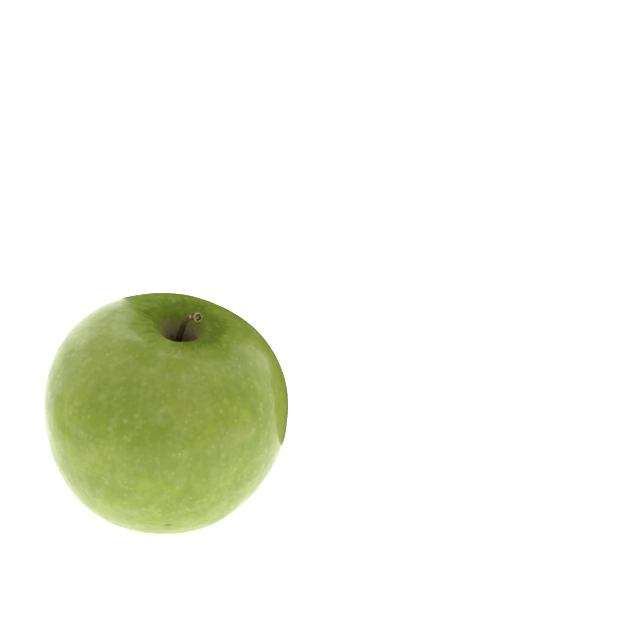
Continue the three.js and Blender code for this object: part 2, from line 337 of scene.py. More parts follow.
def close_socket(piece, middle, reach, floor, rings):
    """Delete a socket's floor, then lead its mouth inwards ring by ring to one point."""
    for step in ("floor", "mouth"):
        places = corners(piece)
        near = np.hypot(places[:, 0] - middle[0], places[:, 1] - middle[1]) < reach
        height = 0.5 * MM if step == "floor" else 5 * MM
        select_corners(piece, near & (abs(places[:, 2] - floor) < height))
        if step == "floor":
            bpy.ops.mesh.delete(type="VERT")
            bpy.ops.object.mode_set(mode="OBJECT")
    for rise, scale in (*rings, (rings[-1][0] / 2, 1)):
        bpy.ops.mesh.extrude_region_move(TRANSFORM_OT_translate={"value": (0, 0, rise * MM)})
        bpy.ops.transform.resize(value=(scale, scale, 1), center_override=tuple(middle))
    bpy.ops.mesh.merge(type="CENTER")
    bpy.ops.mesh.select_all(action="SELECT")
    bpy.ops.mesh.normals_make_consistent(inside=False)
    bpy.ops.object.mode_set(mode="OBJECT")


close_socket(skin, stem_foot, STEM_SOCKET, STEM_FLOOR, STEM_RINGS)
close_socket(skin, core, CALYX_SOCKET, CALYX_FLOOR, CALYX_RINGS)
print("healed skin:", len(skin.data.polygons), "faces")


# %% [markdown]
# ## Smooth it, and grow its lumps
# Two levels of Subdivision Surface turn the facets into a smooth skin. No fruit is quite even, so
# a Displace modifier adds swellings a centimetre across and a quarter of a millimetre high, and
# smaller ones on those. A vertex group keeps them off the five spots that the fruit stands on, and
# out of the throat, where the skin must meet the stem.

# %% Smoothing and lumps
FEET = 1.5 * MM  # no lumps below this height
ABOVE_FEET = 6 * MM  # and this much higher they are full
STEM_ROOM = 14 * MM  # the lumps start at 0.3 of this from the stem's foot, full at 1.3 of it
LUMPS = ((12, 0.5), (3.5, 0.08))  # mm across, and mm from their lowest to their highest

apply_modifier(skin, "SUBSURF", levels=2, render_levels=2)
bpy.ops.object.shade_smooth()

places = corners(skin)
from_stem = np.linalg.norm(places - stem_foot, axis=1)
free = np.clip((places[:, 2] - FEET) / ABOVE_FEET, 0, 1)
free *= np.clip(from_stem / STEM_ROOM - 0.3, 0, 1)
open_skin = skin.vertex_groups.new(name="open_skin")
for index, weight in enumerate(free):
    open_skin.add([index], float(weight), "REPLACE")
for size, height in LUMPS:
    lumps = bpy.data.textures.new(f"lumps_{size}_mm", "CLOUDS")
    lumps.noise_scale = size * MM
    apply_modifier(
        skin, "DISPLACE", texture=lumps, strength=height * MM, vertex_group="open_skin"
    )
skin.vertex_groups.clear()
print("skin:", len(skin.data.polygons), "faces, lowest", round(corners(skin)[:, 2].min() / MM, 3))


# %% [markdown]
# ## The way the skin grew
# An apple's markings run from stem to calyx like lines of longitude, and they all start at the
# stem, which doesn't stand in the middle of the fruit. So each corner keeps where it is for the
# material: its turn about the core, written as a cosine and a sine so that it has no seam, its
# angle down from the top, and its reach, which is its distance from the core in millimetres,
# counted from the stem out to the cheek and on inwards to the calyx.

# %% Turn and reach
CHEEK_R = 37.5 * MM
CHEEK_Z = 34 * MM
FRUIT_MIDDLE_Z = 31 * MM
CAVITY_SHIFT = np.array((7, 2.6)) * MM  # the cavity stands off the core by this, at its middle
CAVITY_REACH = 18 * MM  # and less and less further out
THROAT_SLANT = np.array((-3, 0)) * MM
THROAT_REACH = 4 * MM

places = corners(skin)
flat = places[:, :2] - core[:2]
upper = (places[:, 2] > CHEEK_Z)[:, None]
straight = flat.copy()
for _ in range(12):  # closes in on where each corner would be on a straight core
    r = np.hypot(straight[:, 0], straight[:, 1])[:, None]
    shift = np.exp(-((r / CAVITY_REACH) ** 2)) * CAVITY_SHIFT
    shift += np.exp(-((r / THROAT_REACH) ** 2)) * THROAT_SLANT
    straight = (straight + flat - upper * shift) / 2
r = np.hypot(straight[:, 0], straight[:, 1])
turn = np.arctan2(straight[:, 1], straight[:, 0])
reach = np.where(upper[:, 0], r, 2 * CHEEK_R - r) / MM
store(skin, "reach", reach)
angle_down = np.arctan2(r, places[:, 2] - FRUIT_MIDDLE_Z)
store(skin, "grown", np.stack([np.cos(turn), np.sin(turn), angle_down], axis=1))
print("reach from", round(reach.min(), 2), "to", round(reach.max(), 2))


# %% [markdown]
# ## Skin material: waxed apple peel
# Peel is a clear coat of natural wax over thin green cells over pale flesh. The eye gets a soft
# gloss from the wax, and a little light that comes back out of the flesh and warms the green.
# Colour could come from one noise texture, but peel has several patterns, each with its own size,
# so the material lays them over each other from the broadest to the finest.

# %% Skin material: ground colour and clouds
peel, tree, shader = new_material("apple_peel_waxed")
in_metres = add(tree, "ShaderNodeTexCoord").outputs["Object"]
in_mm = add(tree, "ShaderNodeMapping", {"Vector": in_metres, "Scale": (1 / MM, 1 / MM, 1 / MM)})
grown = add(tree, "ShaderNodeAttribute", attribute_name="grown").outputs["Vector"]
reach_mm = add(tree, "ShaderNodeAttribute", attribute_name="reach").outputs["Fac"]

# The ground goes from a fuller green at the shoulder to a yellower one at the base, and its
# lightening towards the base is partly painted light from the glowing table under it. Its ramp
# covers the whole reach.
WHOLE_REACH = 75.0  # mm, from the stem to the calyx
along = add(tree, "ShaderNodeMath", {0: reach_mm, 1: WHOLE_REACH}, operation="DIVIDE")
colour = add(
    tree,
    "ShaderNodeValToRGB",
    {"Fac": along},
    stops=(
        (0.0, "#929e36"),
        (0.2, "#98a638"),
        (0.36, "#9dab3b"),
        (0.6, "#a1b23c"),
        (0.85, "#acb74d"),
        (1.0, "#979c4a"),
    ),
)

# Clouds of four sizes mottle it: the widest are a purer green, those nine millimetres across are
# paler and greyer, and the two smallest are green again.
for cloud_mm, seed, low, high, most, tint in (
    (15, 76.0, 0.44, 0.62, 0.85, "#8a9f2e"),
    (9, 108.0, 0.48, 0.68, 0.6, "#a6b35a"),
    (4, 120.0, 0.46, 0.7, 0.5, "#8ba036"),
    (1.6, 53.0, 0.47, 0.66, 0.5, "#8b9f36"),
):
    moved = add(tree, "ShaderNodeMapping", {"Vector": in_mm, "Location": (seed, seed, seed)})
    cloud = add(
        tree,
        "ShaderNodeTexNoise",
        {"Vector": moved, "Scale": 1 / cloud_mm, "Detail": 3.0, "Roughness": 0.55},
    )
    share = add(
        tree,
        "ShaderNodeMapRange",
        {"Value": cloud, "From Min": low, "From Max": high, "To Max": most},
        interpolation_type="SMOOTHSTEP",
    )
    colour = add(
        tree, "ShaderNodeMix", {"Factor": share, "A": colour, "B": tint}, data_type="RGBA"
    )

# %% Skin material: streaks that follow the growth
# Along the growth lines, soft pale streaks about three millimetres long and two and a half wide
# at the cheek, faint, and fainter still towards the cavity. One step of the growth coordinates is
# about 35 mm on the cheek.
fewer_above = add(
    tree,
    "ShaderNodeMapRange",
    {"Value": reach_mm, "From Min": 9.0, "From Max": 26.0, "To Min": 0.3},
)
stretched = add(tree, "ShaderNodeMapping", {"Vector": grown, "Scale": (14, 14, 11)})
streaks = add(
    tree,
    "ShaderNodeTexNoise",
    {"Vector": stretched, "Scale": 1.0, "Detail": 2.0, "Roughness": 0.5},
)
share = add(
    tree,
    "ShaderNodeMapRange",
    {"Value": streaks, "From Min": 0.48, "From Max": 0.7, "To Max": 0.36},
    interpolation_type="SMOOTHSTEP",
)
share = add(tree, "ShaderNodeMath", {0: share, 1: fewer_above}, operation="MULTIPLY")
colour = add(
    tree, "ShaderNodeMix", {"Factor": share, "A": colour, "B": "#adb962"}, data_type="RGBA"
)

# %% Skin material: the dark ring about the cavity
# Round the stem the peel is a deep green that ends in feathered rays. Their noise is fine across
# the growth and long along it, and blotches half a centimetre across break it up. The ring
# reaches furthest towards the back right, which the dot product finds; that extra reach is
# painted shade, as cast by a fruit that leaned on it there.
stretched = add(tree, "ShaderNodeMapping", {"Vector": grown, "Scale": (13, 13, 6)})
rays = add(
    tree,
    "ShaderNodeTexNoise",
    {"Vector": stretched, "Scale": 1.0, "Detail": 4.0, "Roughness": 0.6, "Distortion": 0.6},
)
# The ring's lean towards the back right is painted shade, not the peel's own colour.
SHADE_SIDE = (4.6, 3.2, 0)  # mm that the ring reaches further that way, and less the other way
RAY_LENGTH = 14  # mm between the longest and the shortest ray, about
shadeward = add(tree, "ShaderNodeVectorMath", {0: grown, 1: SHADE_SIDE}, operation="DOT_PRODUCT")
shadeward = shadeward.outputs["Value"]
blotches = add(
    tree, "ShaderNodeTexNoise", {"Vector": in_mm, "Scale": 1 / 5, "Detail": 3.0, "Roughness": 0.6}
)
ray = add(tree, "ShaderNodeMath", {0: rays, 1: blotches}, operation="ADD")
ray = add(tree, "ShaderNodeMath", {0: ray, 1: 1.0}, operation="SUBTRACT")
edge = add(
    tree, "ShaderNodeMath", {0: ray, 1: float(RAY_LENGTH), 2: reach_mm}, operation="MULTIPLY_ADD"
)
# A wide faint ring first, all of it painted shade on the shaded side, then the deep one in it,
# the peel's own deep green with some painted shade on that side.
for shade_lean, start, end, most, tint in (
    (-2.2, 20.0, 7.0, 0.75, "#7f951d"),
    (-0.75, 16.5, 8.5, 0.92, "#647902"),
):
    reached = add(
        tree, "ShaderNodeMath", {0: shadeward, 1: shade_lean, 2: edge}, operation="MULTIPLY_ADD"
    )
    share = add(
        tree,
        "ShaderNodeMapRange",
        {"Value": reached, "From Min": start, "From Max": end, "To Max": most},
        interpolation_type="SMOOTHSTEP",
    )
    colour = add(
        tree, "ShaderNodeMix", {"Factor": share, "A": colour, "B": tint}, data_type="RGBA"
    )

# %% Skin material: russet in the throat and the calyx tube
# Where the skin was stretched it healed with cork, called russet: grey in the throat, browner
# and darker deeper down, where the darkening is partly painted shade, and brown in the tube
# under the sepals.
flecks = add(
    tree,
    "ShaderNodeTexNoise",
    {"Vector": in_mm, "Scale": 1 / 1.2, "Detail": 4.0, "Roughness": 0.6},
)
ragged = add(tree, "ShaderNodeMath", {0: flecks, 1: 3.6, 2: -1.8}, operation="MULTIPLY_ADD")
ragged = add(tree, "ShaderNodeMath", {0: ragged, 1: reach_mm}, operation="ADD")
for start, end, most, tint in (
    (7.2, 5.4, 1.0, "#87834c"),
    (5.7, 4.4, 1.0, "#827b59"),
    # This deepest, darkest step is partly the cork's brown and partly painted shade in the throat.
    (4.9, 3.3, 1.0, "#56492c"),
    (70.4, 72.0, 0.9, "#6f6236"),
    (72.0, 73.2, 1.0, "#3c2f1a"),
):
    share = add(
        tree,
        "ShaderNodeMapRange",
        {"Value": ragged, "From Min": start, "From Max": end, "To Max": most},
        interpolation_type="SMOOTHSTEP",
    )
    colour = add(
        tree, "ShaderNodeMix", {"Factor": share, "A": colour, "B": tint}, data_type="RGBA"
    )

# %% Skin material: lenticels
# The pale dots are lenticels, the pores that the fruit breathes through. The clearest are a
# millimetre across and three or four apart. Wider and fainter ones lie between them, here and
# there is a small dark one, and all of them fade towards the cavity. Voronoi cells scatter them,
# and each cell's own random colour gives its dot a size.
for spacing, radius, soft, seed, most, tint in (
    (2.6, 1.1, 1.0, 3.0, 0.4, "#a9b85c"),
    (2.4, 0.8, 0.6, 23.0, 0.55, "#b1bf60"),
    (3.4, 0.5, 0.35, 11.0, 0.6, "#bcc970"),
    (5.5, 0.2, 0.15, 57.0, 0.5, "#5c6420"),
):
    moved = add(tree, "ShaderNodeMapping", {"Vector": in_mm, "Location": (seed, seed, seed)})
    cells = add(tree, "ShaderNodeTexVoronoi", {"Vector": moved, "Scale": 1 / spacing})
    size = add(
        tree,
        "ShaderNodeMapRange",
        {
            "Value": cells.outputs["Color"],
            "From Min": 0.1,
            "From Max": 0.9,
            "To Min": 0.4 * radius,
            "To Max": 1.3 * radius,
        },
    )
    off_middle = add(tree, "ShaderNodeMath", {0: cells, 1: spacing}, operation="MULTIPLY")
    off_edge = add(tree, "ShaderNodeMath", {0: off_middle, 1: size}, operation="SUBTRACT")
    dot = add(
        tree,
        "ShaderNodeMapRange",
        {"Value": off_edge, "From Min": -soft, "From Max": 0.0, "To Min": most, "To Max": 0.0},
        interpolation_type="SMOOTHSTEP",
    )
    dot = add(tree, "ShaderNodeMath", {0: dot, 1: fewer_above}, operation="MULTIPLY")
    colour = add(
        tree, "ShaderNodeMix", {"Factor": dot, "A": colour, "B": tint}, data_type="RGBA"
    )

# %% Skin material: a scratch
# One dry scratch, two millimetres long, low on the front.
SCRATCH = (-2.3, -33.1, 15.8)  # mm
SCRATCH_SQUEEZE = (0.8, 0.3, 2.9)  # so it is long across the front and narrow up it
from_scratch = add(tree, "ShaderNodeVectorMath", {0: in_mm, 1: SCRATCH}, operation="SUBTRACT")
squeezed = add(
    tree, "ShaderNodeVectorMath", {0: from_scratch, 1: SCRATCH_SQUEEZE}, operation="MULTIPLY"
)
off_middle = add(tree, "ShaderNodeVectorMath", {0: squeezed}, operation="LENGTH")
mark = add(
    tree,
    "ShaderNodeMapRange",
    {
        "Value": off_middle.outputs["Value"],
        "From Min": 0.85,
        "From Max": 1.2,
        "To Min": 0.95,
        "To Max": 0.0,
    },
    interpolation_type="SMOOTHSTEP",
)
colour = add(
    tree, "ShaderNodeMix", {"Factor": mark, "A": colour, "B": "#39401a"}, data_type="RGBA"
)
colour = next(s for s in colour.outputs if s.enabled)
tree.links.new(colour, shader.inputs["Base Color"])

# %% Skin material: gloss and relief
# The wax is rubbed smoother in some places than in others. The relief is two hundredths of a
# millimetre high, like fine orange peel, and half a millimetre across.
WAX_COAT = 0.45
worn = add(tree, "ShaderNodeTexNoise", {"Vector": in_mm, "Scale": 1 / 7, "Detail": 3.0})
roughness = add(
    tree,
    "ShaderNodeMapRange",
    {"Value": worn, "From Min": 0.35, "From Max": 0.65, "To Min": 0.29, "To Max": 0.39},
)
# Russet has no wax on it, so there it is matt, and the clear coat fades out.
corky = add(
    tree,
    "ShaderNodeMapRange",
    {"Value": ragged, "From Min": 12.0, "From Max": 7.0, "To Max": 0.85},
    interpolation_type="SMOOTHSTEP",
)
roughness = add(tree, "ShaderNodeMath", {0: roughness, 1: corky}, operation="MAXIMUM")
tree.links.new(roughness.outputs[0], shader.inputs["Roughness"])
wax = add(
    tree,
    "ShaderNodeMapRange",
    {"Value": ragged, "From Min": 7.5, "From Max": 11.5, "To Max": WAX_COAT},
    interpolation_type="SMOOTHSTEP",
)
tree.links.new(wax.outputs[0], shader.inputs["Coat Weight"])
pores = add(tree, "ShaderNodeTexNoise", {"Vector": in_mm, "Scale": 1 / 0.6, "Detail": 2.0})
relief = add(tree, "ShaderNodeBump", {"Height": pores, "Distance": 0.02 * MM, "Strength": 0.6})
tree.links.new(relief.outputs[0], shader.inputs["Normal"])
# Under the wax lie wet cells, and light crosses from wax to water almost unmirrored.
shader.inputs["IOR"].default_value = 1.28
shader.inputs["Coat Roughness"].default_value = 0.12
shader.inputs["Coat IOR"].default_value = 1.45
shader.inputs["Subsurface Weight"].default_value = 0.12
shader.inputs["Subsurface Radius"].default_value = (0.9, 1.0, 0.3)
shader.inputs["Subsurface Scale"].default_value = 2 * MM
skin.data.materials.append(peel)
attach(skin, "root")
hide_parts("fruit")
print("peel material:", len(tree.nodes), "nodes")


# %% [markdown]
# ## The stem
# The stem is a woody stalk that lifted off the tree at a ring of weak cells, so its end is a
# flared knob with a raised corky rim, a groove, and pith in the middle. It could be a curve with a
# round bevel, but the knob has its own shape, so the stem is made straight: a circle is extruded
# ring by ring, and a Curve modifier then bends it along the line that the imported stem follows.

# %% Stem: straight, ring by ring
STEM_BENDS = (  # mm from the foot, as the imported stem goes
    (0.0, 0.0, 0.0),
    (0.05, 0.0, 3.5),
    (0.9, -0.6, 9.3),
    (2.1, -1.6, 13.3),
    (2.9, -3.0, 16.6),
    (4.1, -4.8, 19.2),
    (5.3, -6.8, 20.9),
    (7.0, -9.3, 22.1),
)
STEM_RADII = (  # mm up the stem, and its radius there
    (0.0, 1.34),
    (3.2, 1.3),
    (4.8, 1.1),
    (8.0, 0.97),
    (11.8, 0.92),
    (15.5, 0.91),
    (19.0, 0.94),
    (21.8, 0.98),
    (23.3, 1.02),
    (24.6, 1.09),
    (25.3, 1.21),
    (26.1, 1.35),
    (26.7, 1.32),
)
STEM_SIDES = 20
# The knob's end, as mm inwards and mm up: over the rim, down into the groove, up to the pith.
KNOB_END = ((0.26, 0.12), (0.14, -0.1), (0.12, -0.45), (0.28, 0.0), (0.12, 0.3), (0.25, 0.04))

bpy.ops.object.select_all(action="DESELECT")
bpy.ops.mesh.primitive_circle_add(
    vertices=STEM_SIDES, radius=STEM_RADII[0][1] * MM, fill_type="NGON", location=(0, 0, 0)
)
stem = bpy.context.active_object
stem.name = "apple_stem"
bpy.ops.object.mode_set(mode="EDIT")
bpy.ops.mesh.select_all(action="SELECT")
for (low, radius), (high, next_radius) in zip(STEM_RADII, STEM_RADII[1:]):
    rise = (high - low) * MM
    bpy.ops.mesh.extrude_region_move(TRANSFORM_OT_translate={"value": (0, 0, rise)})
    grow = next_radius / radius
    bpy.ops.transform.resize(value=(grow, grow, 1), center_override=(0, 0, high * MM))
for inset, rise in KNOB_END:
    bpy.ops.mesh.inset(thickness=inset * MM)
    bpy.ops.transform.translate(value=(0, 0, rise * MM))
bpy.ops.object.mode_set(mode="OBJECT")
print("straight stem:", len(stem.data.polygons), "faces")

# %% Stem: furrows, a bud scar and an uneven rim
FURROWS = (0, 3, 7, 10, 13, 17)  # of the twenty sides
FURROWED = (3.5, 25.5)  # mm up the stem
SCAR_SIDES = (5, 6, 7)  # where a bud broke off, just under the knob
SCAR_HEIGHT = 24.2  # mm up the stem
RIM_START = 25 * MM  # the rim is uneven above this height


def side_of(places):
    turned = np.degrees(np.arctan2(places[:, 1], places[:, 0])) % 360
    return np.rint(turned / 360 * STEM_SIDES).astype(int) % STEM_SIDES


places = corners(stem)
height = places[:, 2] / MM
furrowed = (height > FURROWED[0]) & (height < FURROWED[1])
select_corners(stem, np.isin(side_of(places), FURROWS) & furrowed)
bpy.ops.transform.resize(value=(0.87, 0.87, 1), center_override=(0, 0, 0))
bpy.ops.object.mode_set(mode="OBJECT")
select_corners(stem, np.isin(side_of(places), SCAR_SIDES) & (abs(height - SCAR_HEIGHT) < 1))
bpy.ops.mesh.extrude_region_shrink_fatten(TRANSFORM_OT_shrink_fatten={"value": 0.24 * MM})
bpy.ops.mesh.inset(thickness=0.2 * MM, depth=-0.12 * MM)
bpy.ops.object.mode_set(mode="OBJECT")
select_corners(stem, corners(stem)[:, 2] > RIM_START)
bpy.ops.transform.vertex_random(offset=0.09 * MM, seed=4)
bpy.ops.object.mode_set(mode="OBJECT")
apply_modifier(stem, "SUBSURF", levels=2, render_levels=2)
bpy.ops.object.shade_smooth()

places = corners(stem)
from_axis = np.hypot(places[:, 0], places[:, 1])
store(stem, "up_stem", places[:, 2] / MM)
store(stem, "from_axis", from_axis / MM)
# Round the stem by its cosine and sine, which are near to millimetres on a stem of one
# millimetre's radius, and up it in millimetres.
round_stem = places.copy() / MM
round_stem[:, :2] /= np.maximum(from_axis / MM, 0.2)[:, None]
store(stem, "round_stem", round_stem)
print("stem:", len(stem.data.polygons), "faces, largest radius", round(from_axis.max() / MM, 2))

# %% Stem: bent along its line
stem_line = [Vector(stem_foot) + Vector(bend) * MM for bend in STEM_BENDS]
bend_along(stem, stem_line, "POS_Z", dimensions="3D", resolution_u=24)
print_box(stem)

# %% [markdown]
# ## Stem material: dry bark
# The stalk's skin is thin bark with fibres that run along it: dull, dark olive brown low in the
# cavity, where that darkness is painted shade, and lighter further up. The knob's rim and pith are
# cork, which is pale tan, and the groove between them is nearly black. Stretched noise gives the
# fibres, and the distance from the stem's own axis tells rim, groove and pith apart.

# %% Stem material
STEM_LENGTH = 27.0  # mm, which the ramp up the stem covers
END_RADIUS = 1.6  # mm, which the ramp on its end covers

bark, tree, shader = new_material("stem_bark_dry")
up_stem = add(tree, "ShaderNodeAttribute", attribute_name="up_stem").outputs["Fac"]
from_axis = add(tree, "ShaderNodeAttribute", attribute_name="from_axis").outputs["Fac"]
round_stem = add(tree, "ShaderNodeAttribute", attribute_name="round_stem").outputs["Vector"]
share_up = add(tree, "ShaderNodeMath", {0: up_stem, 1: STEM_LENGTH}, operation="DIVIDE")
# Up the stem the colour is darkest low in the cavity and in a narrow band at 0.93, just under the
# knob's flare; both are painted shade.
colour = add(
    tree,
    "ShaderNodeValToRGB",
    {"Fac": share_up},
    stops=(
        (0.0, "#211a0a"),
        (0.4, "#332b0f"),
        (0.62, "#4f4819"),
        (0.76, "#696129"),
        (0.86, "#665d26"),
        (0.93, "#3a2d0d"),
        (0.955, "#6f6235"),
        (1.0, "#9a8d55"),
    ),
)
# Fibres a third of a millimetre wide and three millimetres long.
stretched = add(tree, "ShaderNodeMapping", {"Vector": round_stem, "Scale": (3.0, 3.0, 0.33)})
fibres = add(
    tree,
    "ShaderNodeTexNoise",
    {"Vector": stretched, "Scale": 1.0, "Detail": 4.0, "Distortion": 0.3},
)
for start, end, most, tint in ((0.5, 0.32, 0.75, "#241c0c"), (0.55, 0.75, 0.7, "#a08f56")):
    share = add(
        tree,
        "ShaderNodeMapRange",
        {"Value": fibres, "From Min": start, "From Max": end, "To Max": most},
        interpolation_type="SMOOTHSTEP",
    )
    colour = add(
        tree, "ShaderNodeMix", {"Factor": share, "A": colour, "B": tint}, data_type="RGBA"
    )
# The end: pith out to 0.4 mm, then the groove, then the rim from 1 mm, all of them broken.
in_metres = add(tree, "ShaderNodeTexCoord").outputs["Object"]
in_mm = add(tree, "ShaderNodeMapping", {"Vector": in_metres, "Scale": (1 / MM, 1 / MM, 1 / MM)})
broken = add(tree, "ShaderNodeTexNoise", {"Vector": in_mm, "Scale": 1 / 0.9, "Detail": 2.0})
uneven = add(tree, "ShaderNodeMath", {0: broken, 1: 1.1, 2: -0.55}, operation="MULTIPLY_ADD")
uneven = add(tree, "ShaderNodeMath", {0: uneven, 1: from_axis}, operation="ADD")
end_colour = add(
    tree,
    "ShaderNodeValToRGB",
    {"Fac": add(tree, "ShaderNodeMath", {0: uneven, 1: END_RADIUS}, operation="DIVIDE")},
    stops=(
        (0.0, "#8a7546"),
        (0.24, "#a8945f"),
        (0.36, "#3a2c10"),
        (0.58, "#43370f"),
        (0.68, "#b5a973"),
        (1.0, "#988c54"),
    ),
)
# The cork of the rim is darker where it is dirty.
share = add(
    tree,
    "ShaderNodeMapRange",
    {"Value": broken, "From Min": 0.48, "From Max": 0.62, "To Max": 0.6},
    interpolation_type="SMOOTHSTEP",
)
end_colour = add(
    tree, "ShaderNodeMix", {"Factor": share, "A": end_colour, "B": "#6b5c22"}, data_type="RGBA"
)
on_end = add(
    tree,
    "ShaderNodeMapRange",
    {"Value": up_stem, "From Min": 26.0, "From Max": 26.5},
    interpolation_type="SMOOTHSTEP",
)
colour = add(
    tree, "ShaderNodeMix", {"Factor": on_end, "A": colour, "B": end_colour}, data_type="RGBA"
)
# The bud scar is bare wood, a millimetre across.
scar_turn = math.radians(360 / STEM_SIDES * SCAR_SIDES[1])
SCAR = (math.cos(scar_turn), math.sin(scar_turn), SCAR_HEIGHT)
from_scar = add(tree, "ShaderNodeVectorMath", {0: round_stem, 1: SCAR}, operation="DISTANCE")
share = add(
    tree,
    "ShaderNodeMapRange",
    {"Value": from_scar.outputs["Value"], "From Min": 0.8, "From Max": 0.4, "To Max": 0.9},
    interpolation_type="SMOOTHSTEP",
)
colour = add(
    tree, "ShaderNodeMix", {"Factor": share, "A": colour, "B": "#a99d6f"}, data_type="RGBA"
)
colour = next(s for s in colour.outputs if s.enabled)
tree.links.new(colour, shader.inputs["Base Color"])
shader.inputs["Roughness"].default_value = 0.8
shader.inputs["Specular IOR Level"].default_value = 0.25
relief = add(tree, "ShaderNodeBump", {"Height": fibres, "Distance": 0.08 * MM, "Strength": 0.9})
tree.links.new(relief.outputs[0], shader.inputs["Normal"])
stem.data.materials.append(bark)
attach(stem, "root")
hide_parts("stem")
print("bark material:", len(tree.nodes), "nodes")


# %% [markdown]
# ## The calyx
# Under the apple the five sepals of its flower are still there, dried to leathery tongues. They
# stand round a short tube and curl outwards at their tips. A sepal could be sculpted, but it is
# really a flat leaf that dried and bent, so it is made flat from a grid, one row at a time, given
# its thickness, and then bent by a Curve modifier. One is modelled and four are copied, and each
# dries along its own curve.

# %% Calyx: one flat sepal
SEPAL_LENGTH = 6.9  # mm
SEPAL_WIDTHS = (1.9, 2.1, 2.15, 2.1, 2.0, 1.8, 1.55, 1.25, 0.9, 0.5, 0.12)  # mm, base to tip
SEPAL_THICKNESS = 0.26  # mm
CURL, HALF_CURL, KEEL = 0.34, 0.12, 0.1  # mm that the edges, the parts by them, and the vein rise
ROWS = len(SEPAL_WIDTHS) - 1

bpy.ops.object.select_all(action="DESELECT")
bpy.ops.mesh.primitive_grid_add(
    x_subdivisions=ROWS,
    y_subdivisions=6,
    size=1,
    location=(SEPAL_LENGTH / 2 * MM, 0, 0),
    rotation=(math.pi / 2, 0, 0),
)
sepal = bpy.context.active_object
sepal.name = "sepal"
sepal.scale = (SEPAL_LENGTH * MM, MM, MM)
bpy.ops.object.transform_apply(location=True, rotation=True, scale=True)
for row, width in enumerate(SEPAL_WIDTHS):
    at = row / ROWS * SEPAL_LENGTH * MM
    select_corners(sepal, abs(corners(sepal)[:, 0] - at) < 0.1 * MM)
    bpy.ops.transform.resize(value=(1, 1, width), center_override=(at, 0, 0))
    bpy.ops.object.mode_set(mode="OBJECT")
places = corners(sepal)
row = np.rint(places[:, 0] / (SEPAL_LENGTH * MM) * ROWS).astype(int)
half_width = np.array(SEPAL_WIDTHS)[row] / 2 * MM
across = places[:, 2] / half_width
store(sepal, "sepal_across", across)
store(sepal, "sepal_along", places[:, 0] / (SEPAL_LENGTH * MM))
# The edges curl, and the middle vein stands up as a keel.
for chosen, lift in (
    (abs(across) > 0.9, CURL),
    (abs(across) > 0.5, HALF_CURL),
    (abs(across) < 0.1, KEEL),
):
    select_corners(sepal, chosen & (places[:, 0] > 0.5 * MM))
    bpy.ops.transform.translate(value=(0, lift * MM, 0))
    bpy.ops.object.mode_set(mode="OBJECT")
print("flat sepal:", sepal.dimensions[:])

# %% Calyx: five dried copies
# The line that a sepal dries along, as mm out from the core and mm down.
SEPAL_LINE = ((2.9, -1.0), (3.0, 0.4), (2.85, 1.6), (2.8, 2.8), (3.4, 3.9), (4.9, 4.6))
SEPAL_OPEN = (0.1, 0.5, -0.1, 0.3, 0.0)  # mm that each opens wider at its tip
SEPAL_TURNS = [math.radians(-36 + 72 * i) for i in range(5)]
CALYX_SINK = 2.2 * MM  # how far the calyx is let into the fruit
calyx_mouth = Vector(level_ring("calyx_sepals", highest=True)) - Vector((0, 0, CALYX_SINK))

sepals = []
for index, (turn, wider) in enumerate(zip(SEPAL_TURNS, SEPAL_OPEN)):
    sepal_line = [
        ((out + wider * step / (len(SEPAL_LINE) - 1)) * MM, -down * MM, 0)
        for step, (out, down) in enumerate(SEPAL_LINE)
    ]
    copy = bpy.data.objects.new(f"sepal_{index}", sepal.data.copy())
    bpy.context.collection.objects.link(copy)
    select_corners(copy, corners(copy)[:, 0] > 1 * MM)
    bpy.ops.transform.vertex_random(offset=0.12 * MM, seed=index)
    bpy.ops.object.mode_set(mode="OBJECT")
    bend_along(copy, sepal_line, "POS_X")
    apply_modifier(copy, "SOLIDIFY", thickness=SEPAL_THICKNESS * MM, offset=0)
    apply_modifier(copy, "SUBSURF", levels=2, render_levels=2)
    copy.rotation_euler = (math.pi / 2, 0, turn)
    copy.location = calyx_mouth
    bpy.ops.object.transform_apply(location=True, rotation=True, scale=True)
    sepals.append(copy)
bpy.data.objects.remove(sepal)
bpy.ops.object.select_all(action="DESELECT")
for copy in sepals:
    copy.select_set(True)
calyx = sepals[0]
bpy.context.view_layer.objects.active = calyx
bpy.ops.object.join()
calyx.name = "calyx_sepals_dried"
bpy.ops.object.shade_smooth()
print_box(calyx)


# %% [markdown]
# ## Down on the sepals
# Sepals of an apple are felted with fine pale hairs. Hair particles would be lost when the model
# is exported, so each hair is a thin three-sided thorn of real mesh. One is modelled, by extruding
# a triangle three times as it leans over, and copies stand on faces that a seeded draw picks.

# %% Down
HAIR_COUNT = 420
HAIR_RADIUS = 0.028  # mm; real down is a third as thick, but would be too fine to show
HAIR_LENGTHS = (0.6, 1.3)  # mm
HAIR_STEP = 0.33  # mm from ring to ring
HAIR_RINGS = ((0.02, 0.85), (0.09, 0.6), (0.2, 0.1))  # mm that each leans aside, and its scale

bpy.ops.object.select_all(action="DESELECT")
bpy.ops.mesh.primitive_circle_add(vertices=3, radius=HAIR_RADIUS * MM, location=(0, 0, 0))
hair = bpy.context.active_object
bpy.ops.object.mode_set(mode="EDIT")
bpy.ops.mesh.select_all(action="SELECT")
for lean, scale in HAIR_RINGS:
    bpy.ops.mesh.extrude_region_move(
        TRANSFORM_OT_translate={"value": (lean * MM, 0, HAIR_STEP * MM)}
    )
    bpy.ops.transform.resize(value=(scale, scale, 1))
bpy.ops.mesh.select_all(action="SELECT")
bpy.ops.mesh.normals_make_consistent(inside=False)
bpy.ops.object.mode_set(mode="OBJECT")


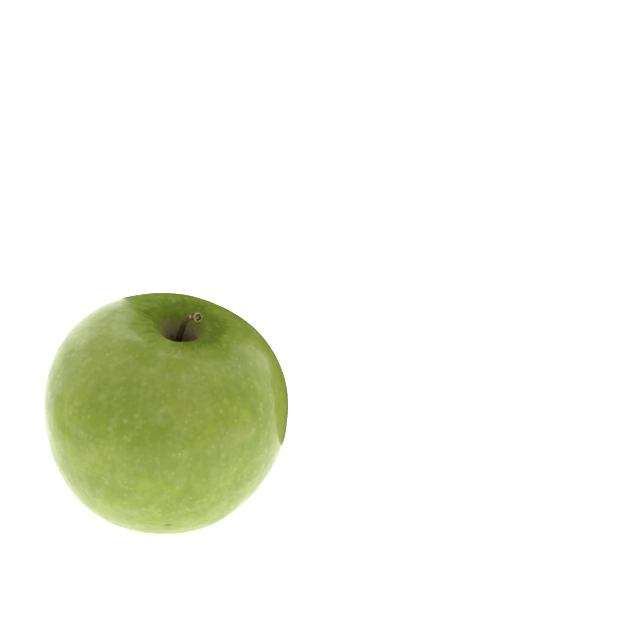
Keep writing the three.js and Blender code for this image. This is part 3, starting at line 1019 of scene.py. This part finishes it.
def copies_as_one(pattern, name, placings):
    """One mesh that holds a copy of the pattern at each placing."""
    points = np.c_[corners(pattern), np.ones(len(pattern.data.vertices))]
    faces = [list(face.vertices) for face in pattern.data.polygons]
    placed = [(points @ np.array(m).T)[:, :3] for m in placings]
    mesh = bpy.data.meshes.new(name)
    all_faces = [[i + n * len(points) for i in f] for n in range(len(placings)) for f in faces]
    mesh.from_pydata(np.concatenate(placed).tolist(), [], all_faces)
    piece = bpy.data.objects.new(name, mesh)
    bpy.context.collection.objects.link(piece)
    bpy.data.objects.remove(pattern)
    select_only(piece)
    bpy.ops.object.shade_smooth()
    return piece


draw = random.Random(11)
roots = []
for face in draw.sample(list(calyx.data.polygons), HAIR_COUNT):
    aside = Vector([draw.uniform(-0.8, 0.8) for _ in range(3)])
    aim = (face.normal + aside + Vector((0, 0, -0.3))).to_track_quat("Z", "X")
    spun = Matrix.Rotation(draw.uniform(0, 2 * math.pi), 4, "Z")
    scale = Matrix.Scale(draw.uniform(*HAIR_LENGTHS), 4)
    base = face.center - 0.03 * MM * face.normal
    roots.append(Matrix.Translation(base) @ aim.to_matrix().to_4x4() @ spun @ scale)
down = copies_as_one(hair, "calyx_down", roots)
print("down:", len(down.data.polygons), "faces")

# %% [markdown]
# ## Sepal and down materials
# A dried sepal is like brown paper, matt and crisp, still a little green at its base, with a pale
# middle vein and nearly black, brittle edges. The down is dry plant hair: pale grey and dull.

# %% Sepal and down materials
husk, tree, shader = new_material("dried_sepal")
in_metres = add(tree, "ShaderNodeTexCoord").outputs["Object"]
in_mm = add(tree, "ShaderNodeMapping", {"Vector": in_metres, "Scale": (1 / MM, 1 / MM, 1 / MM)})
along = add(tree, "ShaderNodeAttribute", attribute_name="sepal_along").outputs["Fac"]
across = add(tree, "ShaderNodeAttribute", attribute_name="sepal_across").outputs["Fac"]
colour = add(
    tree,
    "ShaderNodeValToRGB",
    {"Fac": along},
    stops=((0.0, "#6d6a35"), (0.35, "#6a5d33"), (0.7, "#5b4426"), (1.0, "#33240f")),
)
off_middle = add(tree, "ShaderNodeMath", {0: across}, operation="ABSOLUTE")
# Veins: the middle one pale, and finer ones beside it half a millimetre apart.
fine = add(tree, "ShaderNodeMath", {0: across, 1: 13.0}, operation="MULTIPLY")
fine = add(tree, "ShaderNodeMath", {0: fine}, operation="COSINE")
mottle = add(tree, "ShaderNodeTexNoise", {"Vector": in_mm, "Scale": 1 / 0.7, "Detail": 4.0})
for value, start, end, most, tint in (
    (fine, 0.5, 1.0, 0.35, "#8a7d50"),
    (off_middle, 0.22, 0.02, 0.7, "#9b8e5e"),
    (off_middle, 0.7, 1.0, 0.8, "#2f210f"),
    (mottle, 0.5, 0.7, 0.6, "#3d2c16"),
):
    share = add(
        tree,
        "ShaderNodeMapRange",
        {"Value": value, "From Min": start, "From Max": end, "To Max": most},
        interpolation_type="SMOOTHSTEP",
    )
    colour = add(
        tree, "ShaderNodeMix", {"Factor": share, "A": colour, "B": tint}, data_type="RGBA"
    )
tree.links.new(next(s for s in colour.outputs if s.enabled), shader.inputs["Base Color"])
relief = add(tree, "ShaderNodeBump", {"Height": mottle, "Distance": 0.1 * MM, "Strength": 0.8})
tree.links.new(relief.outputs[0], shader.inputs["Normal"])
shader.inputs["Roughness"].default_value = 0.85
shader.inputs["Sheen Weight"].default_value = 0.3
calyx.data.materials.append(husk)

felted, tree, shader = new_material("sepal_down")
in_metres = add(tree, "ShaderNodeTexCoord").outputs["Object"]
in_mm = add(tree, "ShaderNodeMapping", {"Vector": in_metres, "Scale": (1 / MM, 1 / MM, 1 / MM)})
tufts = add(tree, "ShaderNodeTexNoise", {"Vector": in_mm, "Scale": 1 / 0.9})
colour = add(
    tree, "ShaderNodeValToRGB", {"Fac": tufts}, stops=((0.35, "#8f8a68"), (0.65, "#cfcbb2"))
)
tree.links.new(colour.outputs["Color"], shader.inputs["Base Color"])
shader.inputs["Roughness"].default_value = 0.9
down.data.materials.append(felted)
for piece in (calyx, down):
    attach(piece, "root")
    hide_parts("calyx_sepals")
print("sepals and down have their finish")

# %% [markdown]
# ## Stamens and styles
# Inside the sepals stand the dried stamens, thin threads that each end in a bean-shaped anther,
# and in the middle the five styles. Each thread is a circle extruded ring by ring, and its anther
# is the last rings made wider. One stamen and one style are modelled, and seeded copies lean and
# turn round the tube.

# %% Stamens and styles
STAMEN_RINGS = (  # mm further along, mm aside, radius in mm
    (0.9, -0.03, 0.13),
    (0.9, -0.08, 0.12),
    (0.9, -0.1, 0.11),
    (0.8, -0.04, 0.1),
    (0.5, 0.05, 0.11),
    (0.1, 0.02, 0.24),
    (0.3, 0.02, 0.3),
    (0.3, 0.0, 0.28),
    (0.18, 0.0, 0.12),
)
STYLE_RINGS = (
    (1.2, 0.0, 0.24),
    (1.2, 0.1, 0.2),
    (1.2, 0.14, 0.17),
    (0.9, 0.12, 0.16),
    (0.2, 0.02, 0.25),
    (0.12, 0.0, 0.18),
)
STAMENS = 15
STYLES = 5
ROOT_HEIGHT = core[2] - 0.6 * MM


def thread(rings, radius):
    bpy.ops.object.select_all(action="DESELECT")
    bpy.ops.mesh.primitive_circle_add(
        vertices=7, radius=radius * MM, fill_type="NGON", location=(0, 0, 0)
    )
    piece = bpy.context.active_object
    bpy.ops.object.mode_set(mode="EDIT")
    bpy.ops.mesh.select_all(action="SELECT")
    before = radius
    for rise, aside, ring_radius in rings:
        bpy.ops.mesh.extrude_region_move(
            TRANSFORM_OT_translate={"value": (aside * MM, 0, rise * MM)}
        )
        grow = ring_radius / before
        bpy.ops.transform.resize(value=(grow, grow, 1))
        before = ring_radius
    bpy.ops.mesh.select_all(action="SELECT")
    bpy.ops.mesh.normals_make_consistent(inside=False)
    bpy.ops.object.mode_set(mode="OBJECT")
    apply_modifier(piece, "SUBSURF", levels=1, render_levels=1)
    return piece


def round_the_tube(count, out, lean, spread, lengths):
    """Placings for threads that hang from a ring of this radius and lean inwards."""
    placings = []
    for index in range(count):
        turn = (index + draw.uniform(-0.3, 0.3)) / count * 2 * math.pi
        root = Vector((*core[:2], ROOT_HEIGHT))
        hang = Matrix.Translation(root) @ Matrix.Rotation(turn, 4, "Z")
        hang @= Matrix.Translation((out * MM, 0, 0)) @ Matrix.Rotation(math.pi, 4, "X")
        hang @= Matrix.Rotation(-math.radians(lean + draw.uniform(-spread, spread)), 4, "Y")
        hang @= Matrix.Rotation(draw.uniform(-0.5, 0.5), 4, "Z")
        placings.append(hang @ Matrix.Scale(draw.uniform(*lengths), 4))
    return placings


stamens = copies_as_one(
    thread(STAMEN_RINGS, 0.15), "stamens_dried", round_the_tube(STAMENS, 1.75, 9, 6, (0.85, 1.15))
)
styles = copies_as_one(
    thread(STYLE_RINGS, 0.28), "styles_dried", round_the_tube(STYLES, 0.25, -4, 4, (1.0, 1.12))
)
print_box(stamens)
print_box(styles)

# %% [markdown]
# ## Stamen material
# Dried threads are brittle and dull, brown with nearly black anthers. The colour follows how far
# down the thread it is, so the tips are darker than the roots.

# %% Stamen material
withered, tree, shader = new_material("dried_filament")
in_metres = add(tree, "ShaderNodeTexCoord").outputs["Object"]
in_mm = add(tree, "ShaderNodeMapping", {"Vector": in_metres, "Scale": (1 / MM, 1 / MM, 1 / MM)})
height = add(tree, "ShaderNodeSeparateXYZ", {0: in_mm}).outputs["Z"]
uneven = add(tree, "ShaderNodeTexNoise", {"Vector": in_mm, "Scale": 1 / 0.5, "Detail": 3.0})
raised = add(tree, "ShaderNodeMath", {0: uneven, 1: 2.0, 2: height}, operation="MULTIPLY_ADD")
share = add(tree, "ShaderNodeMapRange", {"Value": raised, "From Min": 4.2, "From Max": 8.0})
colour = add(
    tree,
    "ShaderNodeValToRGB",
    {"Fac": share},
    stops=((0.0, "#2a1c0c"), (0.35, "#4a3318"), (0.6, "#7a5d33"), (1.0, "#86703f")),
)
tree.links.new(colour.outputs["Color"], shader.inputs["Base Color"])
relief = add(tree, "ShaderNodeBump", {"Height": uneven, "Distance": 0.05 * MM, "Strength": 0.7})
tree.links.new(relief.outputs[0], shader.inputs["Normal"])
shader.inputs["Roughness"].default_value = 0.8
for piece in (stamens, styles):
    piece.data.materials.append(withered)
    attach(piece, "root")
    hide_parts("stamens")
print("stamens and styles have their finish")
